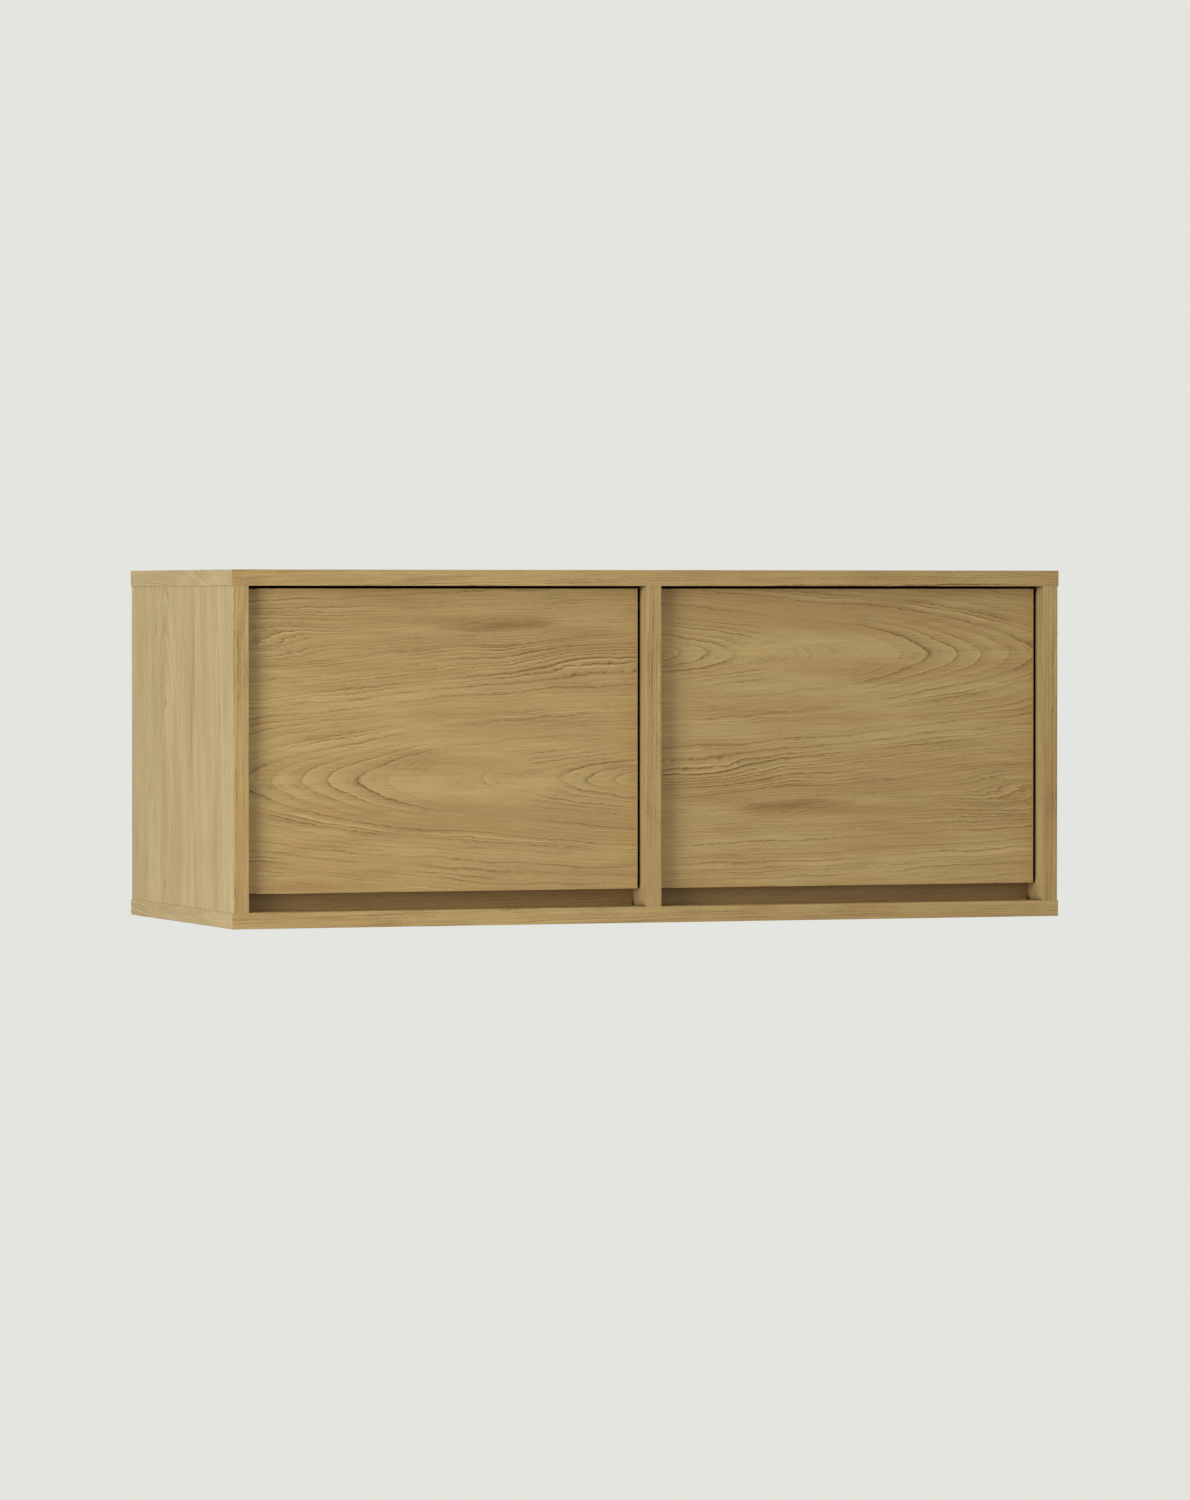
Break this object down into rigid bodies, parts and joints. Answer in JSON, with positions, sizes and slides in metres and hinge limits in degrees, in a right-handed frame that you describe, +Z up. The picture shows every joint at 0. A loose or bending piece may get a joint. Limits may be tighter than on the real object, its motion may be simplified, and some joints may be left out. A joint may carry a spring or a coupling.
{
  "type": "wall cabinet with lift-up flap doors",
  "caption": "Wall hung oak-finish cabinet with recessed lift-up flap doors, finger gaps, stop rails, friction stays and hidden wall hangers.",
  "frame": {"origin": "middle of the cabinet's rear, on the wall plane", "axes": "+X along the wall to the right as seen from the front, +Y into the wall, +Z up"},
  "size_m": [1, 0.4, 0.4],
  "materials": {
    "oak_boards": "oak-grain laminate on particle board, satin",
    "oak_bands": "oak-grain edge band, satin",
    "oak_doors": "oak-grain laminate, level grain, satin",
    "back_fibreboard": "thin fibreboard",
    "zinc": "zinc plated",
    "steel": "bright plated steel",
    "oak_caps": "oak-coloured plastic",
    "beech_dowels": "raw beech",
    "grey_plastic": "moulded, matt",
    "black_plastic": "moulded, matt",
    "white_plastic": "moulded, matt",
    "buffer_rubber": "soft, translucent grey"
  },
  "bodies": {
    "cabinet": {"top_panel": "oak_boards", "bottom_panel": "oak_boards", "left_side_panel": "oak_boards", "right_side_panel": "oak_boards", "divider_panel": "oak_boards", "left_stop_rail": "oak_boards", "right_stop_rail": "oak_boards", "top_front_band": "oak_bands", "bottom_front_band": "oak_bands", "left_side_front_band": "oak_bands", "right_side_front_band": "oak_bands", "divider_front_band": "oak_bands", "top_end_bands": "oak_bands", "bottom_end_bands": "oak_bands", "left_back_panel": "back_fibreboard", "right_back_panel": "back_fibreboard", "cam_locks": "zinc", "left_stay_plate": "zinc", "right_stay_plate": "zinc", "cam_bolts": "steel", "rail_screws": "steel", "left_hanger_hook": "steel", "right_hanger_hook": "steel", "left_wall_plate": "steel", "right_wall_plate": "steel", "hanger_adjusting_screws": "steel", "hanger_fixing_screws": "steel", "stay_plate_screws": "steel", "stay_axles": "steel", "disc_springs": "steel", "clamp_nuts": "steel", "cam_cover_caps": "oak_caps", "rail_screw_caps": "oak_caps", "panel_dowels": "beech_dowels", "left_hanger_body": "grey_plastic", "right_hanger_body": "grey_plastic", "access_hole_caps": "white_plastic", "friction_washers": "white_plastic", "pivot_bushes": "black_plastic", "door_buffers": "buffer_rubber"},
    "left_door": {"left_door_panel": "oak_doors", "left_door_bands": "oak_bands", "left_pivot_pins": "steel", "left_door_bracket": "zinc", "left_bracket_pin": "steel", "left_bracket_screws": "steel"},
    "left_lever": {"left_stay_lever": "steel", "left_lever_rivet": "zinc"},
    "left_link": {"left_stay_link": "steel"},
    "right_door": {"right_door_panel": "oak_doors", "right_door_bands": "oak_bands", "right_pivot_pins": "steel", "right_door_bracket": "zinc", "right_bracket_pin": "steel", "right_bracket_screws": "steel"},
    "right_lever": {"right_stay_lever": "steel", "right_lever_rivet": "zinc"},
    "right_link": {"right_stay_link": "steel"}
  },
  "joints": [
    {"name": "left_door_lift", "type": "hinge", "parent": "cabinet", "child": "left_door", "pos_m": [-0.4808, -0.3695, 0.159], "axis": [-1, 0, 0], "range_deg": [0, 90]},
    {"name": "left_lever_turn", "type": "hinge", "parent": "cabinet", "child": "left_lever", "pos_m": [-0.4808, -0.3095, 0.124], "axis": [-1, 0, 0], "range_deg": [0, 90]},
    {"name": "left_link_turn", "type": "hinge", "parent": "left_lever", "child": "left_link", "pos_m": [-0.4808, -0.2855, 0.034], "axis": [1, 0, 0], "range_deg": [0, 90]},
    {"name": "right_door_lift", "type": "hinge", "parent": "cabinet", "child": "right_door", "pos_m": [0.4808, -0.3695, 0.159], "axis": [-1, 0, 0], "range_deg": [0, 90]},
    {"name": "right_lever_turn", "type": "hinge", "parent": "cabinet", "child": "right_lever", "pos_m": [0.4808, -0.3095, 0.124], "axis": [-1, 0, 0], "range_deg": [0, 90]},
    {"name": "right_link_turn", "type": "hinge", "parent": "right_lever", "child": "right_link", "pos_m": [0.4808, -0.2855, 0.034], "axis": [1, 0, 0], "range_deg": [0, 90]}
  ],
  "couplings": [
    {"joint": "left_lever_turn", "follows": "left_door_lift", "ratio": 1},
    {"joint": "left_link_turn", "follows": "left_door_lift", "ratio": 1},
    {"joint": "right_lever_turn", "follows": "right_door_lift", "ratio": 1},
    {"joint": "right_link_turn", "follows": "right_door_lift", "ratio": 1}
  ]
}
